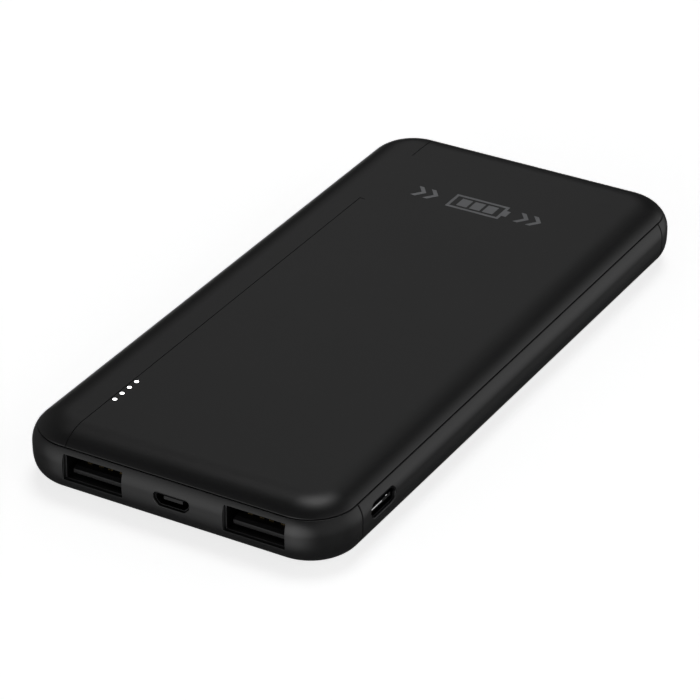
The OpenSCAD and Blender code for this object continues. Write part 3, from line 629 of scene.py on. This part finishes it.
BLACK = (0.0085, 0.0085, 0.0088)
FINISHES = {
    "case_plastic": dict(colour=BLACK, rough=0.37, grain=5200, depth=0.0035, wear=0.8, spread=0.04,
                         uneven=0.01),
    "grey_ink": dict(colour=(0.25, 0.255, 0.265), rough=0.45, grain=7000, depth=0.002, spread=0.15),
    "ivory_plastic": dict(colour=(0.66, 0.6, 0.48), rough=0.45),
    "steel_sheet": dict(colour=(0.86, 0.86, 0.87), rough=0.2, metal=1, stretch=(1, 12, 1)),
    "board_laminate": dict(colour=(0.01, 0.09, 0.035), rough=0.35, cloud=420, spread=0.3),
    "screw_steel": dict(colour=(0.42, 0.42, 0.44), rough=0.32, metal=1, wear=0.6),
    "clear_plastic": dict(colour=(0.9, 0.93, 0.96), rough=0.1, clear=0.9, spread=0.02),
    "black_plastic": dict(colour=(0.014, 0.014, 0.015), rough=0.5),
    "led_white": dict(colour=(0.82, 0.8, 0.62), rough=0.35),
    "ferrite_moulding": dict(colour=(0.06, 0.06, 0.062), rough=0.6, grain=2600, depth=0.02),
    "can_aluminium": dict(colour=(0.7, 0.7, 0.71), rough=0.28, metal=1, stretch=(1, 1, 9)),
    "chip_moulding": dict(colour=(0.022, 0.022, 0.024), rough=0.55, grain=3500, depth=0.01),
    "ceramic_tan": dict(colour=(0.42, 0.28, 0.15), rough=0.4),
    "cell_pouch": dict(colour=(0.62, 0.63, 0.65), rough=0.34, metal=0.85, cloud=140, depth=0.02,
                       grain=900),
    "white_tape": dict(colour=(0.78, 0.78, 0.75), rough=0.6, grain=3000, depth=0.01),
    "grey_foam": dict(colour=(0.12, 0.12, 0.125), rough=0.9, grain=1800, depth=0.08),
    "nickel_strip": dict(colour=(0.66, 0.63, 0.58), rough=0.27, metal=1, stretch=(1, 10, 1)),
    "insulating_paper": dict(colour=(0.55, 0.46, 0.3), rough=0.8, cloud=300, spread=0.15),
    # The socket shell metal is far darker than bright plating so that the sockets' insides stay
    # black: painted shade in their recesses.
    "socket_shell": dict(colour=(0.14, 0.14, 0.143), rough=0.36, metal=1, stretch=(1, 1, 8),
                         wear=0.5),
    # Near-black metal for the micro-B and USB-C shells: painted shade that keeps their rims and
    # insides dark in the sunken sockets.
    "black_metal": dict(colour=(0.025, 0.025, 0.026), rough=0.4, metal=1, stretch=(1, 8, 1)),
    "socket_insulator": dict(colour=(0.008, 0.008, 0.0085), rough=0.42, grain=6000, depth=0.003,
                             specular=0.42),
    "gold_contact": dict(colour=(0.27, 0.2, 0.09), rough=0.5, metal=1),
    "lit_tip": dict(colour=(0.9, 0.9, 0.9), rough=0.3, light=4.0, spread=0.02),
}
MATERIALS = {name: material(name + "_finish", **values) for name, values in FINISHES.items()}


def finish_piece(obj, node, slot, body="case"):
    """Gives a new piece its material and its body, hides the CAD node that it stands for, and
    shades it.
    """
    obj.data.materials.clear()
    obj.data.materials.append(MATERIALS[slot])
    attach(obj, body)
    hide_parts(node)
    return shade(obj)


finish_piece(top_cover(), "top_cover", "case_plastic")
finish_piece(front_cap(), "front_cap", "case_plastic")
finish_piece(bottom_cover(), "bottom_cover", "case_plastic")
finish_piece(rear_cap(), "rear_cap", "case_plastic")
finish_piece(power_key(), "power_button", "case_plastic", "button")
# The USB-A shells' dark metal is painted shade for the insides of the sockets.
for socket_side in ("left", "right"):
    finish_piece(usb_a_shell(socket_side), f"usb_a_{socket_side}_shell", "socket_shell")
# The micro-B and USB-C shells' near-black metal is painted shade for their recesses.
finish_piece(micro_shell(), "micro_usb_shell", "black_metal")
finish_piece(usb_c_shell(), "usb_c_shell", "black_metal")
finish_piece(usb_c_tongue(), "usb_c_tongue", "socket_insulator")
finish_piece(usb_c_tip(), "usb_c_tongue", "steel_sheet")

# The light guide keeps the CAD's shape; the pins' ends shine in their windows.
guide = finish_piece(cad_copy("light_guide_lit", "light_guide"), "light_guide", "clear_plastic")
guide.data.materials.append(MATERIALS["lit_tip"])
for face in guide.data.polygons:
    if face.center.z > (DECK_Z - 0.3) * MM:
        face.material_index = 1

# Nodes whose CAD shape is right: their own finish, and eased edges.
EASED = {"battery_cell_lower": 0.5, "battery_cell_upper": 0.5, "main_board": 0.05,
         "printed_mark": 0.0, "light_baffle": 0.1, "cell_top_foam": 0.2}
for node_name, obj in NODES.items():
    if obj.hide_render:
        continue
    for part in obj.material_slots:
        part.link = "OBJECT"
        part.material = MATERIALS[obj.data.materials[0].name]
    width = EASED.get(node_name, 0.06)
    if width:
        weld = obj.modifiers.new("weld", "WELD")
        weld.merge_threshold = 0.0005 * MM
        ease = obj.modifiers.new("ease", "BEVEL")
        ease.width, ease.segments, ease.limit_method = width * MM, 2, "ANGLE"
        ease.angle_limit = radians(40)


# ---- Floor, light and camera -----------------------------------------------------------

def floor():
    """A pale floor that also glows, so that it reads as white; gloss doesn't mirror it."""
    half, glow = 6000, 0.75
    obj = block("floor", (-half, -half, -2), (half, half, -0.01))
    mat = material("floor_finish", (0.8, 0.8, 0.8), 0.8, spread=0.01, cloud=3, grain=400,
                   depth=0.01)
    shader = mat.node_tree.nodes["Principled BSDF"]
    shader.inputs["Emission Color"].default_value = (1, 1, 1, 1)
    shader.inputs["Emission Strength"].default_value = glow
    obj.data.materials.append(mat)
    obj.visible_glossy = False


# Light from every side, and soft panels in it. Each panel has its direction, the angles from it
# in degrees where it starts and stops fading, and its radiance.
BASE_LIGHT = 0.03
PANELS = [
    ((-0.4, -0.9, -0.05), 20, 45, 0.8),      # in front
    ((0.1, -0.95, -0.15), 15, 35, 1.5),      # in front on the right
    ((-0.1, 0.35, 0.95), 6, 18, 3.4),        # overhead
    ((-0.43, 0.75, 0.5), 5, 15, 0.35),       # behind, mirrored in the flat top
    ((-0.5, 0.75, -0.45), 8, 20, 1.3),       # behind on the left, mirrored in the far edge
    ((0.65, 0.7, 0.1), 15, 40, 0.7),         # behind on the right
    ((0.95, -0.2, 0.2), 20, 50, 0.4),        # right
    ((-0.9, 0.0, 0.2), 20, 50, 0.1),         # left
]


def surroundings():
    """The panels, added up in the world's background."""
    world = bpy.data.worlds.new("studio")
    bpy.context.scene.world = world
    world.use_nodes = True
    nodes, links = world.node_tree.nodes, world.node_tree.links
    where = nodes.new("ShaderNodeTexCoord")
    total = None
    for direction, full, none, radiance in PANELS:
        toward = nodes.new("ShaderNodeVectorMath")
        toward.operation = "DOT_PRODUCT"
        toward.inputs[1].default_value = Vector(direction).normalized()
        links.new(where.outputs["Generated"], toward.inputs[0])
        fade = nodes.new("ShaderNodeMapRange")
        fade.interpolation_type = "SMOOTHSTEP"
        for key, number in (("From Min", cos(radians(none))), ("From Max", cos(radians(full))),
                            ("To Min", 0), ("To Max", radiance)):
            fade.inputs[key].default_value = number
        links.new(toward.outputs["Value"], fade.inputs["Value"])
        add = nodes.new("ShaderNodeMath")
        add.operation = "ADD"
        links.new(fade.outputs["Result"], add.inputs[0])
        add.inputs[1].default_value = BASE_LIGHT
        if total is not None:
            links.new(total, add.inputs[1])
        total = add.outputs["Value"]
    links.new(total, nodes["Background"].inputs["Strength"])
    nodes["Background"].inputs["Color"].default_value = (1, 1, 1, 1)


def camera():
    """The camera at the viewing angle, looking at VIEW_AIM."""
    back = Vector((sin(VIEW_AZIMUTH) * cos(VIEW_ELEVATION),
                   -cos(VIEW_AZIMUTH) * cos(VIEW_ELEVATION), sin(VIEW_ELEVATION)))
    data = bpy.data.cameras.new("camera")
    data.lens, data.sensor_width = VIEW_LENS, 36
    data.clip_start, data.clip_end = 0.01, 50
    obj = bpy.data.objects.new("camera", data)
    bpy.context.scene.collection.objects.link(obj)
    obj.location = (VIEW_AIM + back * VIEW_DISTANCE) * MM
    obj.rotation_mode = "QUATERNION"
    obj.rotation_quaternion = (-back).to_track_quat("-Z", "Y")
    bpy.context.scene.camera = obj


floor()
surroundings()
camera()
bpy.context.scene.view_settings.view_transform = "Standard"
